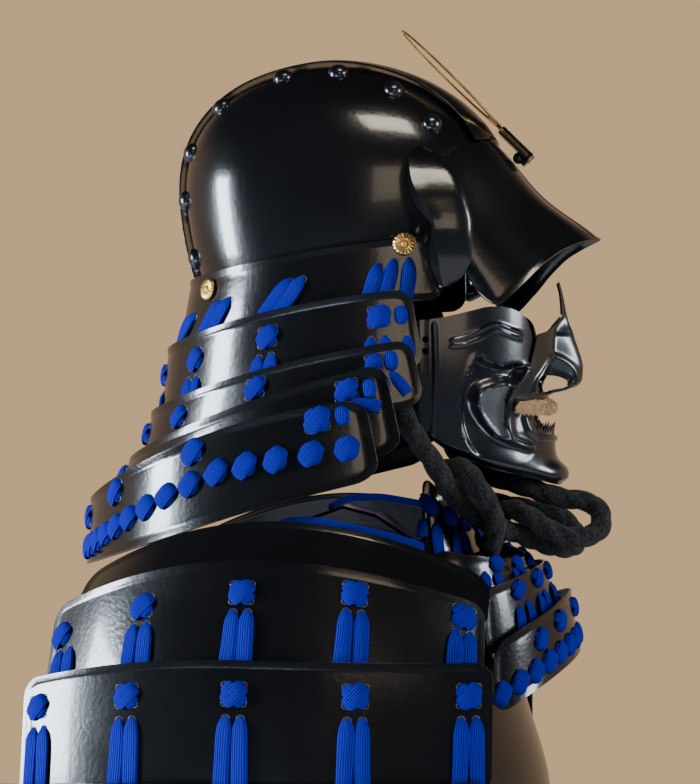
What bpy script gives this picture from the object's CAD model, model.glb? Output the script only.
"""The looks of a samurai armour: lacquered plates, silk lacing, a gilt crest, a rope and a moustache.

Sizes are millimetres in the part's own frame: +Z up, the wearer faces -Y, the wearer's right is -X.
Most right-hand pieces have a mirrored left-hand copy.
"""

import math

import bmesh
import bpy
import numpy as np
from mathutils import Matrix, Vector


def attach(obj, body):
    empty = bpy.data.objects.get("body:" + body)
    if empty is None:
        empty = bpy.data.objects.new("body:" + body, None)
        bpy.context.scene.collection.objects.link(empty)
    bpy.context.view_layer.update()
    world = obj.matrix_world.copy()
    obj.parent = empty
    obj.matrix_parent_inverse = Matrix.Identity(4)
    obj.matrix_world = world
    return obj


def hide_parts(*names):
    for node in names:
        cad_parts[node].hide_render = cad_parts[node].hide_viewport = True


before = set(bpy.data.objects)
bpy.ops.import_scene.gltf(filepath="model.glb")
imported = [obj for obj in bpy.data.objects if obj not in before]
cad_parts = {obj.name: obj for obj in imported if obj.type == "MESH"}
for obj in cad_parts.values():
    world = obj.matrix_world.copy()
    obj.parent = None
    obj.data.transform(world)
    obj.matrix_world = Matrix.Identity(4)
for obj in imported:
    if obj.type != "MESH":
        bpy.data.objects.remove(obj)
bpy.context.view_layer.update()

MM = 0.001
DEGREE = math.pi / 180
rng = np.random.default_rng(7)

# ---------------- driving sizes
PLATE = 1.8             # iron plate and lacquer
SEAM = 0.7              # clearance between two pieces that meet
CORNER = 14             # corner radius of the lames
RIM_WIDTH = 6.5         # band along the border of a lame that flares out
RIM_LIFT = 1.3          # how far it flares out
EDGE_ANGLE = 50 * DEGREE    # plates are rounded along edges sharper than this
BRAID_WIDTH = 12.6      # one flat silk braid
BRAID_THICK = 2.6
BRAID_CORD = 1.8        # one lengthwise cord of a braid
BRAID_CHEVRON = 1.5     # from one chevron to the next
PAIR_PITCH = 13.4       # the two braids of a pair lie side by side
ROPE = 18
ROPE_LAY = 62           # length of one turn of the rope's three strands
ROPE_FIBRES = 15000     # loose fibres that stand out of the rope
HAIRS = 9500            # hairs of the moustache
KNOT_SIZE = (20, 18)    # width and height of the usual cross knot
FUR = 7                 # thickness of the moustache

# ---------------- camera
CAMERA_PLACE = (-1.3787, -0.2631, 0.110)
CAMERA_TURN = 10 * DEGREE   # the camera looks across the wearer's right side, a little from the front
LENS = 72
SENSOR = 36


def stand_in_scene(data, place, looks):
    """Puts a camera or a lamp at a place, looking along a direction."""
    obj = bpy.data.objects.new(data.name, data)
    bpy.context.scene.collection.objects.link(obj)
    obj.location = place
    obj.rotation_mode = "QUATERNION"
    obj.rotation_quaternion = Vector(looks).to_track_quat("-Z", "Y")
    return obj


def add_camera():
    data = bpy.data.cameras.new("camera")
    data.lens = LENS
    data.sensor_width = SENSOR
    looks = (math.cos(CAMERA_TURN), math.sin(CAMERA_TURN), 0)
    bpy.context.scene.camera = stand_in_scene(data, CAMERA_PLACE, looks)


add_camera()


# ---------------- small tools
def vec(x, y, z):
    return np.stack(np.broadcast_arrays(x, y, z), axis=-1).astype(float)


def unit(vectors):
    return vectors / np.maximum(np.linalg.norm(vectors, axis=-1, keepdims=True), 1e-12)


def mix(a, b, t):
    return a + (b - a) * t


def smooth_step(low, high, value):
    t = np.clip((value - low) / (high - low), 0, 1)
    return t * t * (3 - 2 * t)


def steps(count):
    return np.linspace(0, 1, count)


def around(count):
    """Angles evenly round a full turn."""
    return np.linspace(0, 2 * math.pi, count + 1)[:-1]


def crown(t, power, root):
    """1 in the middle and 0 at -1 and 1, with a roundness of its own."""
    return np.maximum(1 - np.abs(t) ** power, 0) ** root


def bell(distance, width):
    return np.exp(-((distance / width) ** 2))


def rolled(height, distance, width, power):
    """How far a rolled edge stands out at a distance from it."""
    return height * np.clip(1 - distance / width, 0, 1) ** power


def hermite(start, end, leave, arrive, t):
    """A curve from start to end that leaves and arrives with the given slopes."""
    return (start * (1 + 2 * t) * (1 - t) ** 2 + leave * t * (1 - t) ** 2
            + end * t * t * (3 - 2 * t) - arrive * t * t * (1 - t))


def run_along(points):
    """The distance from the first point of a line to each of its points."""
    return np.concatenate([[0], np.cumsum(np.linalg.norm(np.diff(points, axis=0), axis=1))])


def look_up_smooth(table, key):
    """Reads a table, whose rows start with the key, along a smooth curve that never overshoots its rows."""
    table = np.array(table, float)
    x = table[:, 0]
    step = np.diff(x)
    place = np.clip(np.searchsorted(x, key) - 1, 0, len(x) - 2)
    width = step[place]
    t = np.clip((key - x[place]) / width, 0, 1)
    columns = []
    for y in table[:, 1:].T:
        rise = np.diff(y) / step
        same = rise[1:] * rise[:-1] > 0
        total = np.where(same, rise[1:] + rise[:-1], 1)
        inner = np.where(same, 2 * rise[1:] * rise[:-1] / total, 0)
        slope = np.concatenate([rise[:1], inner, rise[-1:]])
        columns.append(hermite(y[place], y[place + 1], slope[place] * width, slope[place + 1] * width, t))
    return columns


def normal_at(surface, u, v, step=0.002):
    """Outward normal of a sheet whose u runs from the left round the back to the right, v down."""
    du = surface(np.minimum(u + step, 1), v) - surface(np.maximum(u - step, 0), v)
    dv = surface(u, np.minimum(v + step, 1)) - surface(u, np.maximum(v - step, 0))
    return unit(np.cross(dv, du))


def lifted(surface, distance):
    return lambda u, v: surface(u, v) + normal_at(surface, u, v) * distance


def length_of(surface):
    """The length of a sheet along the middle of its height."""
    points = surface(steps(60), np.full(60, 0.5))
    return float(np.linalg.norm(np.diff(points, axis=0), axis=1).sum())


def distance_to_line(y, z, line):
    """Distance from points of a plane to a polyline, and how far along the polyline the foot lies."""
    line = np.array(line, float)
    nearest = np.full(np.shape(y), 1e9)
    along = np.zeros(np.shape(y))
    for k in range(len(line) - 1):
        (ay, az), (by, bz) = line[k], line[k + 1]
        span = (by - ay) ** 2 + (bz - az) ** 2
        t = np.clip(((y - ay) * (by - ay) + (z - az) * (bz - az)) / span, 0, 1)
        gap = np.hypot(y - ay - t * (by - ay), z - az - t * (bz - az))
        along = np.where(gap < nearest, (k + t) / (len(line) - 1), along)
        nearest = np.minimum(nearest, gap)
    return nearest, along


# ---------------- materials
class Wiring:
    """Short words for the nodes and links of a material or a world."""

    def __init__(self, owner, shader):
        owner.use_nodes = True
        self.tree = owner.node_tree
        self.shader = self.tree.nodes[shader]

    def feed(self, node, **inputs):
        """Links outputs of other nodes to a node's inputs, or sets the inputs' own values."""
        for key, value in inputs.items():
            socket = node.inputs[int(key[1:]) if key[1:].isdigit() else key.replace("_", " ")]
            if isinstance(value, bpy.types.NodeSocket):
                self.tree.links.new(value, socket)
            elif value is not None:
                socket.default_value = (*value, 1) if isinstance(value, tuple) else value
        return node

    def node(self, kind, values=(), **settings):
        """A new node, its settings, and the values or links of its first inputs."""
        made = self.tree.nodes.new("ShaderNode" + kind)
        for key, value in settings.items():
            setattr(made, key, value)
        return self.feed(made, **{f"n{number}": value for number, value in enumerate(values)})

    def math(self, operation, first, second=None, third=None):
        return self.node("Math", (first, second, third), operation=operation).outputs[0]

    def noise(self, scale, detail=3, roughness=0.5):
        place = self.node("TexCoord").outputs["Object"]
        made = self.feed(self.node("TexNoise"), Vector=place, Scale=scale, Detail=detail, Roughness=roughness)
        return made.outputs["Fac"]

    def ranged(self, value, low, high, to_low, to_high, **settings):
        return self.node("MapRange", (value, low, high, to_low, to_high), **settings).outputs[0]

    def mixed(self, factor, first, second):
        return self.feed(self.node("Mix", data_type="RGBA"), n0=factor, n6=first, n7=second).outputs[2]

    def bump(self, height, distance):
        made = self.feed(self.node("Bump"), Strength=1.0, Distance=distance, Height=height)
        self.feed(self.shader, Normal=made.outputs["Normal"])


def principled(name, colour, roughness, **inputs):
    material = bpy.data.materials.new(name)
    wiring = Wiring(material, "Principled BSDF")
    wiring.feed(wiring.shader, Base_Color=colour, Roughness=roughness, **inputs)
    return material, wiring


def lacquer_material(name, colour, rough, peel, coat, coat_rough):
    """Lacquer over iron: a coat with an orange-peel skin and thin wipe marks."""
    material, wiring = principled(name, colour, rough[0], Coat_Weight=coat, Coat_Roughness=coat_rough,
                                  IOR=1.5)
    wiring.feed(wiring.shader, Roughness=wiring.ranged(wiring.noise(14, 4), 0.35, 0.7, *rough))
    wiring.bump(wiring.noise(260, 2), peel)
    return material


def braid_material():
    """Royal blue silk: lengthwise cords crossed by fine chevrons. Its UV are millimetres across and along."""
    material, wiring = principled("silk_braid", (0.001, 0.012, 0.55), 0.75, Specular_IOR_Level=0.2)
    parts = wiring.node("SeparateXYZ", (wiring.node("UVMap").outputs["UV"],))
    cord_wave = wiring.math("SINE", wiring.math("MULTIPLY", parts.outputs["X"], math.pi / BRAID_CORD))
    cord = wiring.math("POWER", wiring.math("ABSOLUTE", cord_wave), 0.9)
    across = wiring.math("PINGPONG", parts.outputs["X"], BRAID_CORD)
    slanted = wiring.math("MULTIPLY_ADD", across, 0.8, parts.outputs["Y"])
    wave = wiring.math("SINE", wiring.math("MULTIPLY", slanted, 2 * math.pi / BRAID_CHEVRON))
    tone = wiring.math("MULTIPLY_ADD", wave, 0.16, wiring.math("MULTIPLY", cord, 0.84))
    colour = wiring.mixed(tone, (0.0001, 0.0015, 0.07), (0.0006, 0.014, 0.66))
    wiring.feed(wiring.shader, Base_Color=colour)
    wiring.bump(tone, 0.0011)
    return material


def gilt_material():
    material, wiring = principled("gilt", (0.80, 0.52, 0.16), 0.24, Metallic=1.0)
    wiring.feed(wiring.shader, Roughness=wiring.ranged(wiring.noise(90), 0.3, 0.7, 0.26, 0.40))
    return material


def rope_material():
    material, wiring = principled("black_rope", (0.006, 0.0065, 0.008), 0.9, Specular_IOR_Level=0.2,
                                  Sheen_Weight=0.12)
    tone = wiring.noise(420, 5, 0.75)
    shade = wiring.ranged(tone, 0.42, 0.66, 0, 1)
    wiring.feed(wiring.shader, Base_Color=wiring.mixed(shade, (0.001, 0.0011, 0.0014), (0.050, 0.053, 0.060)))
    wiring.bump(tone, 0.0022)
    return material


def fur_material():
    material, wiring = principled("moustache_fur", (0.72, 0.48, 0.24), 0.6, Specular_IOR_Level=0.3)
    colour = wiring.mixed(wiring.noise(160, 2), (0.62, 0.38, 0.17), (1.0, 0.84, 0.60))
    wiring.feed(wiring.shader, Base_Color=colour)
    return material


LACQUER = lacquer_material("black_lacquer", (0.0050, 0.0054, 0.0066), (0.18, 0.26), 0.00012, 0.5, 0.08)
GLOSS = lacquer_material("mask_lacquer", (0.003, 0.0055, 0.0095), (0.24, 0.34), 0.00005, 0.8, 0.13)
MATTE = lacquer_material("dull_lacquer", (0.07, 0.075, 0.085), (0.45, 0.6), 0.0004, 0.0, 0.3)
LIP, _ = principled("hole_lip", (0.16, 0.14, 0.12), 0.35, Metallic=0.6)
BRAID = braid_material()
GILT = gilt_material()
HEMP = rope_material()
HAIR = fur_material()
PALE, _ = principled("studio_floor", (0.66, 0.69, 0.74), 0.85)


# ---------------- meshes
def flipped(points):
    """The left-hand copy of points."""
    return np.asarray(points) * [-1, 1, 1]


class Pile:
    """Gathers small forms into one mesh: points in millimetres, faces and UV in millimetres."""

    def __init__(self):
        self.points, self.faces, self.uvs, self.count = [], [], [], 0

    def add(self, points, faces, uv=None):
        points = np.asarray(points, float).reshape(-1, 3)
        self.points.append(points)
        self.uvs.append(np.zeros((len(points), 2)) if uv is None else np.asarray(uv, float).reshape(-1, 2))
        self.faces += [[int(self.count + k) for k in face] for face in faces]
        self.count += len(points)
        return self

    def grid(self, points, wrap=False, caps=False, uv=None):
        """points[i, j]; wrap joins the last j to the first, caps closes the first and last i."""
        rows, columns = points.shape[:2]
        last = columns if wrap else columns - 1
        faces = []
        for i in range(0, (rows - 1) * columns, columns):
            for j in range(last):
                after = (j + 1) % columns
                faces.append([i + j, i + after, i + columns + after, i + columns + j])
        if caps:
            faces.append(list(range(columns))[::-1])
            faces.append([(rows - 1) * columns + j for j in range(columns)])
        return self.add(points, faces, uv)

    def tube(self, points, uv=None):
        """A closed form of rings, with its first and last ring closed."""
        return self.grid(points, wrap=True, caps=True, uv=uv)

    def mirrored(self):
        """The left-hand copy of this pile."""
        faces = [face[::-1] for face in self.faces]
        return Pile().add(flipped(np.vstack(self.points)), faces, np.vstack(self.uvs))

    def both(self):
        """This pile together with its left-hand copy."""
        copy = Pile()
        for pile in (self, self.mirrored()):
            copy.add(np.vstack(pile.points), pile.faces, np.vstack(pile.uvs))
        return copy


def mesh_object(name, points, faces, material, nodes, uv=None, smooth=True):
    mesh = bpy.data.meshes.new(name)
    mesh.from_pydata((np.asarray(points) * MM).tolist(), [], faces)
    if uv is not None:
        layer = mesh.uv_layers.new(name="UVMap")
        corners = np.empty(len(mesh.loops), int)
        mesh.loops.foreach_get("vertex_index", corners)
        layer.data.foreach_set("uv", np.asarray(uv, float)[corners].ravel())
    mesh.materials.append(material)
    mesh.polygons.foreach_set("use_smooth", [smooth] * len(mesh.polygons))
    mesh.update()
    obj = bpy.data.objects.new(name, mesh)
    bpy.context.scene.collection.objects.link(obj)
    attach(obj, "root")
    if nodes:
        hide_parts(*nodes)
    return obj


def pile_object(name, pile, material, nodes=(), smooth=True):
    return mesh_object(name, np.vstack(pile.points), pile.faces, material, nodes, np.vstack(pile.uvs), smooth)


def silk(node, pile):
    pile_object(f"{node}_silk", pile, BRAID, [node])


def bevelled(obj, width):
    bevel = obj.modifiers.new("edge", "BEVEL")
    bevel.width = width * MM
    bevel.segments = 2
    return bevel


def in_hole(u, v, hole):
    cu, cv, ru, rv, power = hole
    return (np.abs((u - cu) / ru) ** power + np.abs((v - cv) / rv) ** power) ** (1 / power)


def sheet(node, surface, us, vs, material, name=None, relief=None, holes=(),
          thickness=PLATE, edge=0.5, mirror=False, patch=None):
    """A plate that replaces a node: an open grid of its outer face, thickened inward, with rounded edges.

    name is for a piece that isn't called after its node; without a node the piece is an addition.
    relief(u, v, points) moves points out. A hole is (u, v, radius in u, radius in v, power), and the
    grid's points beside it are drawn onto its border. patch is a second material and a test of where
    it lies."""
    u, v = np.meshgrid(us, vs, indexing="ij")
    number = np.arange(u.size).reshape(u.shape)
    faces = np.stack([number[:-1, :-1], number[:-1, 1:], number[1:, 1:], number[1:, :-1]], axis=-1)
    inside = np.zeros(u.shape, bool)
    for hole in holes:
        inside |= in_hole(u, v, hole) < 1
    used, faces = np.unique(faces[~inside.ravel()[faces].all(axis=-1)], return_inverse=True)
    faces = faces.reshape(-1, 4)
    for hole in holes:
        reach = in_hole(u, v, hole)
        draw = (reach < 1) & (reach > 0)
        u = np.where(draw, hole[0] + (u - hole[0]) / np.maximum(reach, 1e-6), u)
        v = np.where(draw, hole[1] + (v - hole[1]) / np.maximum(reach, 1e-6), v)
    points = surface(u, v)
    if relief is not None:
        points = points + normal_at(surface, u, v) * relief(u, v, points)[..., None]
    points = points.reshape(-1, 3)[used]
    copies = [(str, points, faces)]
    if mirror:
        copies.append((lambda text: text.replace("right", "left"), flipped(points), faces[:, ::-1]))
    for renamed, points, faces in copies:
        nodes = [renamed(node)] if node else []
        obj = mesh_object(renamed(name or f"{node}_face"), points, faces.tolist(), material, nodes)
        if patch is not None:
            obj.data.materials.append(patch[0])
            obj.data.polygons.foreach_set("material_index", patch[1](points[faces].mean(axis=1)).astype(int))
        wall = obj.modifiers.new("wall", "SOLIDIFY")
        wall.thickness = thickness * MM
        wall.offset = -1
        if edge:
            bevel = bevelled(obj, edge)
            bevel.limit_method = "ANGLE"
            bevel.angle_limit = EDGE_ANGLE
        obj.modifiers.new("shading", "WEIGHTED_NORMAL").keep_sharp = True


def spaced(count, radius_share):
    """Steps from 0 to 1 that are closer near both ends, where the corners are rounded."""
    near = radius_share * (1 - np.cos(np.linspace(0, math.pi / 2, 9)))
    return np.concatenate([near, np.linspace(radius_share, 1 - radius_share, count)[1:-1], 1 - near[::-1]])


def corner_cut(surface, radius):
    """For (u, v): the distance to the nearer end, the sheet's height there, and how far a rounded corner
    draws its top and bottom edges in."""
    length = length_of(surface)

    def at(u, v):
        to_end = np.minimum(u, 1 - u) * length
        height = np.linalg.norm(surface(u, v * 0) - surface(u, v * 0 + 1), axis=-1)
        short = np.maximum(radius - to_end, 0)
        return to_end, height, radius - np.sqrt(np.maximum(radius * radius - short * short, 0))

    return at


def rounded(surface, radius):
    """Rounds the four corners of a sheet by drawing its top and bottom edges in near its ends."""
    cut = corner_cut(surface, radius)

    def drawn_in(u, v):
        _, height, drawn = cut(u, v)
        return surface(u, mix(drawn / height, 1 - drawn / height, v))

    return drawn_in


def rim_relief(surface, lift):
    """The border of a lame flares out past a faint crease."""
    cut = corner_cut(surface, CORNER)

    def relief(u, v, points):
        to_end, height, drawn = cut(u, v)
        to_edge = drawn + v * (height - 2 * drawn)
        px, py = CORNER - to_end, CORNER - np.minimum(to_edge, height - to_edge)
        outside = np.hypot(np.maximum(px, 0), np.maximum(py, 0))
        border = CORNER - outside - np.minimum(np.maximum(px, py), 0)
        return lift * np.clip(1 - border / RIM_WIDTH, 0, 1) - 0.3 * bell(border - RIM_WIDTH, 0.9)

    return relief


def lame_sheet(node, surface, columns, rows, mirror=False, lift=RIM_LIFT):
    us = spaced(columns, CORNER / length_of(surface))
    height = np.linalg.norm(surface(np.array(0.5), np.array(0.0)) - surface(np.array(0.5), np.array(1.0)))
    near = np.array([0, 0.3, 0.6, 0.85, 1.0, 1.2]) * RIM_WIDTH / height
    vs = np.concatenate([near, np.linspace(near[-1], 1 - near[-1], rows - 10)[1:-1], 1 - near[::-1]])
    sheet(node, rounded(surface, CORNER), us, vs, LACQUER, mirror=mirror, relief=rim_relief(surface, lift))


# ---------------- braids and knots
def braid_section(fine):
    """A flat braid seen end on: x from -1 to 1 and height from 0 to 1, as a closed ring."""
    x = np.sin(np.linspace(-math.pi / 2, math.pi / 2, fine) * 0.94) / math.sin(math.pi / 2 * 0.94)
    low = np.linspace(0.9, -0.9, 4)
    return np.concatenate([x, low]), np.concatenate([crown(x, 2.6, 1 / 2.2), np.full(4, -0.05)])


def ribbon(pile, surface, u, v, widths, lifts, thick, fine=16):
    """A braid that lies on a surface along a line of (u, v), with a width and a lift for each point."""
    centre = surface(u, v)
    out = normal_at(surface, u, v)
    along = unit(np.gradient(centre, axis=0))
    across = unit(np.cross(out, along))
    x, height = braid_section(fine)
    points = (
        centre[:, None]
        + across[:, None] * (x[None] * widths[:, None] / 2)[..., None]
        + out[:, None] * (lifts[:, None] + height[None] * thick)[..., None]
    )
    across_mm = (x[None] + 1) * np.max(widths) / 2
    uv = np.stack(np.broadcast_arrays(across_mm, run_along(centre)[:, None]), axis=-1)
    pile.tube(points[:, ::-1], uv[:, ::-1])


def per_mm(surface, u, v):
    """How much u and v change in a millimetre at a place."""
    e = 0.01
    left, right, top, low = (surface(np.array(u + du), np.array(v + dv))
                             for du, dv in ((-e, 0), (e, 0), (0, -e), (0, e)))
    return 2 * e / np.linalg.norm(right - left), 2 * e / np.linalg.norm(low - top)


def strand(pile, surface, start, end, width=BRAID_WIDTH, thick=BRAID_THICK, rows=14, fine=16):
    """One braid from the hole where it comes out, in a pointed arch, to its end out of sight."""
    t = steps(rows) ** 1.8
    du, dv = per_mm(surface, *start)
    length = math.hypot((end[0] - start[0]) / du, (end[1] - start[1]) / dv)
    sway = rng.normal(0, 0.5) * np.sin(t * math.pi) * du
    u = mix(start[0], end[0], t) + sway
    v = mix(start[1], end[1], t)
    opened = np.clip((t * length + 0.6) / 16, 0, 1)
    widths = width * (1 - (1 - opened) ** 2) ** 0.5 * (1 + 0.03 * np.sin(5 * t + rng.uniform(0, 6)))
    lifts = mix(-1.4, 0.8, smooth_step(0, 7 / length, t)) + 0.5 * np.sin(t * math.pi)
    ribbon(pile, surface, u, v, widths, lifts, thick, fine=fine)


def pair(pile, surface, start, end, count=2, **detail):
    du, _ = per_mm(surface, *start)
    for k in range(count):
        shift = (k - (count - 1) / 2) * PAIR_PITCH * du
        strand(pile, surface, (start[0] + shift * 0.84, start[1]), (end[0] + shift * 1.04, end[1]), **detail)


def knot(pile, surface, u, v, size=KNOT_SIZE, full=0.66, high=5.0, rows=11, fine=13):
    """A cross knot: one short braid over another, each from corner hole to corner hole."""
    du, dv = per_mm(surface, u, v)
    t = np.linspace(-1, 1, rows)
    turn = rng.normal(0, 6) * DEGREE
    for layer, slope in ((0, 1), (1, -1)):
        x = t * size[0] / 2 * 0.80
        y = t * size[1] / 2 * 0.80 * slope
        xs = x * math.cos(turn) - y * math.sin(turn)
        ys = x * math.sin(turn) + y * math.cos(turn)
        widths = size[1] * full * (1 + 0.12 * layer) * (0.50 + 0.50 * crown(t, 4, 0.6))
        lifts = mix(-1.8, high * (0.30 + 0.26 * layer), crown(t, 2.4, 0.5))
        ribbon(pile, surface, u + xs * du, v + ys * dv, widths, lifts, BRAID_THICK, fine=fine)


def upright(pile, surface, u, v, width, height):
    """A short upright braid from a hole to the hole below it."""
    _, dv = per_mm(surface, u, v)
    t = np.linspace(-1, 1, 13)
    widths = width * (0.35 + 0.65 * crown(t, 2, 0.5))
    lifts = mix(-1.8, 1.8, crown(t, 2.4, 0.5))
    ribbon(pile, surface, u + 0 * t, v + t * height * 0.48 * dv, widths, lifts, BRAID_THICK)


def ring_rim(pile, surface, u, v, radius=2.5, wire=0.42):
    """The lip of a lacing hole."""
    u, v = np.array(u), np.array(v)
    out = normal_at(surface, u, v)
    side = unit(np.cross(out, [0, 0, 1]))
    a = around(11)[:, None]
    b = around(4)[None]
    spoke = np.cos(a)[..., None] * side + np.sin(a)[..., None] * np.cross(side, out)
    points = surface(u, v) + spoke * (radius + wire * np.cos(b))[..., None]
    points = points + out * (0.1 + wire * np.sin(b))[..., None]
    pile.grid(np.concatenate([points, points[:1]])[:, ::-1], wrap=True)


def knot_lips(pile, surface, u, v, size):
    du, dv = per_mm(surface, u, v)
    for x in (-1, 1):
        for y in (-1, 1):
            ring_rim(pile, surface, u + x * size[0] * 0.36 * du, v + y * size[1] * 0.36 * dv)


def pair_lips(pile, surface, u, v, count=2):
    du, dv = per_mm(surface, u, v)
    for k in range(count):
        shift = (k - (count - 1) / 2) * PAIR_PITCH * 0.84
        ring_rim(pile, surface, u + shift * du, v + 2.4 * dv, radius=3.2)


# ---------------- chin cord
CHIN_CORD = [
    (-88, -40, 186), (-95, -66, 128), (-98, -88, 80), (-91, -107, 50), (-74, -123, 21),
    (-50, -147, 0), (-27, -175, -13), (-4, -204, -25), (12, -218, -25), (24, -219, -15),
    (29, -206, -2), (19, -180, 6), (6, -150, 12), (-14, -128, 22), (-38, -113, 35),
    (-61, -113, 44), (-76, -129, 46), (-85, -143, 31), (-80, -152, 14), (-69, -155, -4),
    (-53, -150, -20), (-35, -148, -23), (-22, -150, -13), (-20, -155, 1), (-27, -162, 9),
    (-38, -176, 7), (-35, -198, -7), (-28, -219, -14), (-19, -238, -10), (-11, -242, 2),
    (-6, -234, 13), (-9, -205, 19), (-12, -170, 30), (-2, -144, 37), (18, -129, 41),
    (44, -121, 43), (72, -113, 47), (95, -93, 72), (96, -64, 130), (88, -40, 186),
]


def smooth_path(points, spacing):
    """Even points along a centripetal Catmull-Rom curve through the given ones."""
    p = np.array(points, float)
    p = np.vstack([2 * p[0] - p[1], p, 2 * p[-1] - p[-2]])
    t = (np.arange(40) / 40)[:, None]
    spans = []
    for k in range(1, len(p) - 2):
        p0, p1, p2, p3 = p[k - 1:k + 3]
        d0, d1, d2 = (np.linalg.norm(b - a) ** 0.5 for a, b in ((p0, p1), (p1, p2), (p2, p3)))
        leave = ((p1 - p0) / d0 - (p2 - p0) / (d0 + d1) + (p2 - p1) / d1) * d1
        arrive = ((p2 - p1) / d1 - (p3 - p1) / (d1 + d2) + (p3 - p2) / d2) * d1
        spans.append(hermite(p1, p2, leave, arrive, t))
    path = np.vstack([*spans, p[-2:-1]])
    run = run_along(path)
    places = np.linspace(0, run[-1], int(run[-1] / spacing) + 1)
    return np.stack([np.interp(places, run, path[:, k]) for k in range(3)], axis=1), places


def path_frames(path):
    """For each point, the way along and two directions square to it that don't twist."""
    along = unit(np.gradient(path, axis=0))
    side = np.empty_like(path)
    side[0] = unit(np.cross(along[0], [0, 0, 1]))
    for k in range(1, len(path)):
        side[k] = unit(side[k - 1] - along[k] * np.dot(side[k - 1], along[k]))
    return along, side, np.cross(along, side)


def rope_radius(angle, run):
    """The radius of three strands that twist round each other."""
    return ROPE / 2 * (0.80 + 0.22 * np.abs(np.cos(1.5 * (angle - 2 * math.pi * run / ROPE_LAY))) ** 0.7)


def build_rope():
    path, run = smooth_path(CHIN_CORD, 2.4)
    along, side, up = path_frames(path)

    def at(row, angle, reach):
        spoke = np.cos(angle)[..., None] * side[row] + np.sin(angle)[..., None] * up[row]
        return path[row] + spoke * reach[..., None]

    angles = around(24)[None]
    wobble = 1 + 0.02 * np.sin(run[:, None] / 9 + 2 * angles)
    radius = rope_radius(angles, run[:, None]) * wobble
    rows = np.arange(len(path))[:, None]
    points = at(rows, np.broadcast_to(angles, radius.shape), radius)
    rope = pile_object("chin_cord_rope", Pile().tube(points), HEMP, ["chin_cord"])

    count = ROPE_FIBRES
    row = rng.integers(1, len(path) - 1, count)
    angle = rng.uniform(0, 2 * math.pi, count)
    foot = at(row, angle, rope_radius(angle, run[row]) - 0.2)
    spoke = unit(foot - path[row])
    lean = unit(along[row] * rng.normal(0, 1, (count, 1))
                + np.cross(along[row], spoke) * rng.normal(0, 1, (count, 1)))
    tip = foot + spoke * rng.uniform(0.5, 1.6, (count, 1)) + lean * rng.uniform(0.6, 2.4, (count, 1))
    wide = unit(np.cross(tip - foot, spoke)) * 0.13
    points = np.stack([foot - wide, foot + wide, tip], axis=1)
    fuzz = Pile().add(points, np.arange(3 * count).reshape(-1, 3).tolist())
    fibres = pile_object("chin_cord_fibres", fuzz, HEMP, smooth=False)


# ---------------- helmet bowl
# The bowl is a rounded form about a leaning axis. y and z are the foot of that axis, and the heights
# below are counted from it.
BOWL = {"y": -11, "z": 227.5, "lean": 8.3 * DEGREE,
        "side": 103, "back": 129, "front": 154, "up": 115, "down": 157}
BOWL_MIDDLE = 55            # the widest section
BOWL_RIM = -8
BOWL_ROUND = 2.3            # power of the outline seen from the front
BOWL_SIDE_ROUND = {"power": 2.1, "more_behind": 0.28, "sharpness": 3}    # the same for the side view
SEAM_HALF = {"nape": 27, "more_at_brow": 27}    # half width of the centre plate
SEAM_ENDS = (-27, 171)      # the centre plate from nape to brow, in degrees round the side view
RIM_ENDS = (9, 168)         # a side plate along the rim, in degrees from the back
CENTRE_LIFT = 4.0
BROW_LIFT = 3.7
SEAM_LAP = 9                # how far the side plates reach in under the centre plate
LEAN = (math.cos(BOWL["lean"]), math.sin(BOWL["lean"]))


def bowl_frame(x, b, h):
    c, s = LEAN
    return vec(x, BOWL["y"] + b * c + h * s, BOWL["z"] - b * s + h * c)


def bowl_fraction(b, h):
    behind = np.tanh(BOWL_SIDE_ROUND["sharpness"] * b / np.maximum(np.hypot(b, h), 1e-6))
    n = BOWL_SIDE_ROUND["power"] + BOWL_SIDE_ROUND["more_behind"] * behind
    along = np.abs(b / np.where(b > 0, BOWL["back"], BOWL["front"])) ** n
    upward = np.abs(h / np.where(h > 0, BOWL["up"], BOWL["down"])) ** n
    return (along + upward) ** (1 / n)


def bowl_along(way, lift=0):
    x, b, h = way[..., 0], way[..., 1], way[..., 2]
    across = np.abs(x / BOWL["side"]) ** BOWL_ROUND
    reach = (across + bowl_fraction(b, h) ** BOWL_ROUND) ** (-1 / BOWL_ROUND)
    reach = reach + lift / np.linalg.norm(way, axis=-1)
    return bowl_frame(x * reach, b * reach, BOWL_MIDDLE + h * reach)


def bowl_off_middle(x, angle):
    b, h = np.cos(angle), np.sin(angle)
    free = (1 - np.abs(x / BOWL["side"]) ** BOWL_ROUND) ** (1 / BOWL_ROUND)
    reach = free / bowl_fraction(b, h)
    return vec(x, b * reach, h * reach)


def bowl_from_side(y, z):
    c, s = LEAN
    b = (y - BOWL["y"]) * c - (z - BOWL["z"]) * s
    h = (y - BOWL["y"]) * s + (z - BOWL["z"]) * c - BOWL_MIDDLE
    fraction = np.minimum(bowl_fraction(b, h), 1)
    return vec(-BOWL["side"] * (1 - fraction ** BOWL_ROUND) ** (1 / BOWL_ROUND), b, h)


def seam_half_width(t):
    return SEAM_HALF["nape"] + SEAM_HALF["more_at_brow"] * t * t


def seam_angle(t):
    return mix(*SEAM_ENDS, t) * DEGREE


def rim_direction(azimuth):
    fore = np.where(np.cos(azimuth) > 0, BOWL["back"], BOWL["front"])
    return vec(-BOWL["side"] * np.sin(azimuth), fore * np.cos(azimuth), BOWL_RIM - BOWL_MIDDLE)


def side_plate_surface(u, v):
    top = bowl_off_middle(SEAM_LAP - seam_half_width(u), seam_angle(u))
    return bowl_along(mix(top, rim_direction(mix(*RIM_ENDS, u) * DEGREE), v[..., None]))


def centre_plate_surface(u, v):
    return bowl_along(bowl_off_middle(mix(-1, 1, u) * seam_half_width(v), seam_angle(v)), CENTRE_LIFT + PLATE)


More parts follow.
